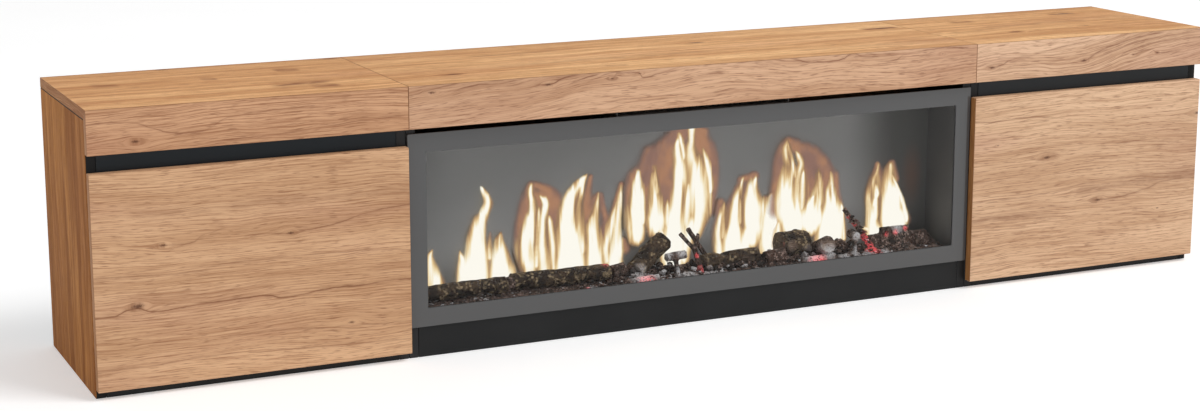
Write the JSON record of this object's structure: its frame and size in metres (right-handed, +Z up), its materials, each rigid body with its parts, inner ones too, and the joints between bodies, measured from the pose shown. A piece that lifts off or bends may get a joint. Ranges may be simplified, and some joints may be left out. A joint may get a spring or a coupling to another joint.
{
  "type": "television stand",
  "caption": "Low oak television stand with a glazed electric log fire in the middle bay and a drop-down flap with slotted stay on each side bay.",
  "frame": {"origin": "under the middle of the stand, at floor level", "axes": "+X to the right along the stand, +Y to the back, +Z up; the doors face -Y"},
  "size_m": [2.1, 0.339, 0.452],
  "materials": {
    "oak": "oak decor with a brushed grain, satin",
    "oak_side": "oak decor outside with upright grain, black inside and on the front edge, satin",
    "black_board": "black melamine, satin",
    "back_board": "black lacquered hardboard, matt",
    "zinc_steel": "bright zinc plating",
    "pale_plastic": "moulded, matt",
    "black_plastic": "moulded, fine texture",
    "smoked_glass": "toughened, smoked, with a dark printed border on its back",
    "dark_sheet": "matt black powder coat on sheet steel",
    "smoked_screen": "smoked mirror acrylic",
    "bark": "moulded bark, charred",
    "embers": "moulded embers and ash",
    "foil": "bright",
    "galvanised": "galvanised sheet",
    "motor_casing": "plated"
  },
  "bodies": {
    "carcass": {"left_top_board": "oak", "centre_top_board": "oak", "right_top_board": "oak", "left_fascia": "oak", "centre_fascia": "oak", "right_fascia": "oak", "left_outer_side": "oak_side", "right_outer_side": "oak_side", "left_inner_side": "black_board", "centre_left_side": "black_board", "centre_right_side": "black_board", "right_inner_side": "black_board", "left_bottom_board": "black_board", "centre_bottom_board": "black_board", "right_bottom_board": "black_board", "left_front_rail": "black_board", "right_front_rail": "black_board", "kick_board": "black_board", "left_back_panel": "back_board", "centre_back_panel": "back_board", "right_back_panel": "back_board", "left_outer_hinge_arm": "zinc_steel", "left_inner_hinge_arm": "zinc_steel", "right_outer_hinge_arm": "zinc_steel", "right_inner_hinge_arm": "zinc_steel", "left_stay_stud": "zinc_steel", "right_stay_stud": "zinc_steel", "left_catch": "pale_plastic", "right_catch": "pale_plastic", "front_glass": "smoked_glass", "firebox": "dark_sheet", "flame_screen": "smoked_screen", "ember_bed": "embers", "left_log": "bark", "second_log": "bark", "thick_log": "bark", "long_log": "bark", "split_log": "bark", "rotor_bearing": "pale_plastic", "rotor_motor": "motor_casing", "light_bar": "motor_casing", "blower_case": "galvanised", "blower_motor": "motor_casing", "heating_element": "motor_casing", "inlet_socket": "black_plastic"},
    "left_flap": {"left_door": "oak", "left_outer_hinge_cup": "zinc_steel", "left_inner_hinge_cup": "zinc_steel", "left_stay_bracket": "zinc_steel", "left_strike_plate": "zinc_steel"},
    "right_flap": {"right_door": "oak", "right_outer_hinge_cup": "zinc_steel", "right_inner_hinge_cup": "zinc_steel", "right_stay_bracket": "zinc_steel", "right_strike_plate": "zinc_steel"},
    "left_stay": {"left_stay_arm": "zinc_steel"},
    "right_stay": {"right_stay_arm": "zinc_steel"},
    "rotor": {"flame_rotor": "foil"},
    "fan": {"blower_wheel": "black_plastic"},
    "switch": {"rocker_switch": "black_plastic"}
  },
  "joints": [
    {"name": "left_flap_hinge", "type": "hinge", "parent": "carcass", "child": "left_flap", "pos_m": [-0.79515, -0.1615, 0.0169], "axis": [1, 0, 0], "range_deg": [0, 90]},
    {"name": "right_flap_hinge", "type": "hinge", "parent": "carcass", "child": "right_flap", "pos_m": [0.79515, -0.1615, 0.0169], "axis": [1, 0, 0], "range_deg": [0, 90]},
    {"name": "left_stay_pivot", "type": "hinge", "parent": "left_flap", "child": "left_stay", "pos_m": [-1.027, -0.1435, 0.16582], "axis": [1, 0, 0], "range_deg": [-45, 0]},
    {"name": "right_stay_pivot", "type": "hinge", "parent": "right_flap", "child": "right_stay", "pos_m": [1.027, -0.1435, 0.16582], "axis": [1, 0, 0], "range_deg": [-45, 0]},
    {"name": "rotor_spin", "type": "hinge", "parent": "carcass", "child": "rotor", "pos_m": [0, -0.026, 0.1078], "axis": [1, 0, 0], "continuous": true},
    {"name": "fan_spin", "type": "hinge", "parent": "carcass", "child": "fan", "pos_m": [0, -0.068, 0.3785], "axis": [1, 0, 0], "continuous": true},
    {"name": "switch_rock", "type": "hinge", "parent": "carcass", "child": "switch", "pos_m": [0.3334, 0.0302, 0.1374], "axis": [1, 0, 0], "range_deg": [0, 16]}
  ],
  "couplings": [
    {"joint": "left_stay_pivot", "follows": "left_flap_hinge", "ratio": -0.5},
    {"joint": "right_stay_pivot", "follows": "right_flap_hinge", "ratio": -0.5}
  ]
}
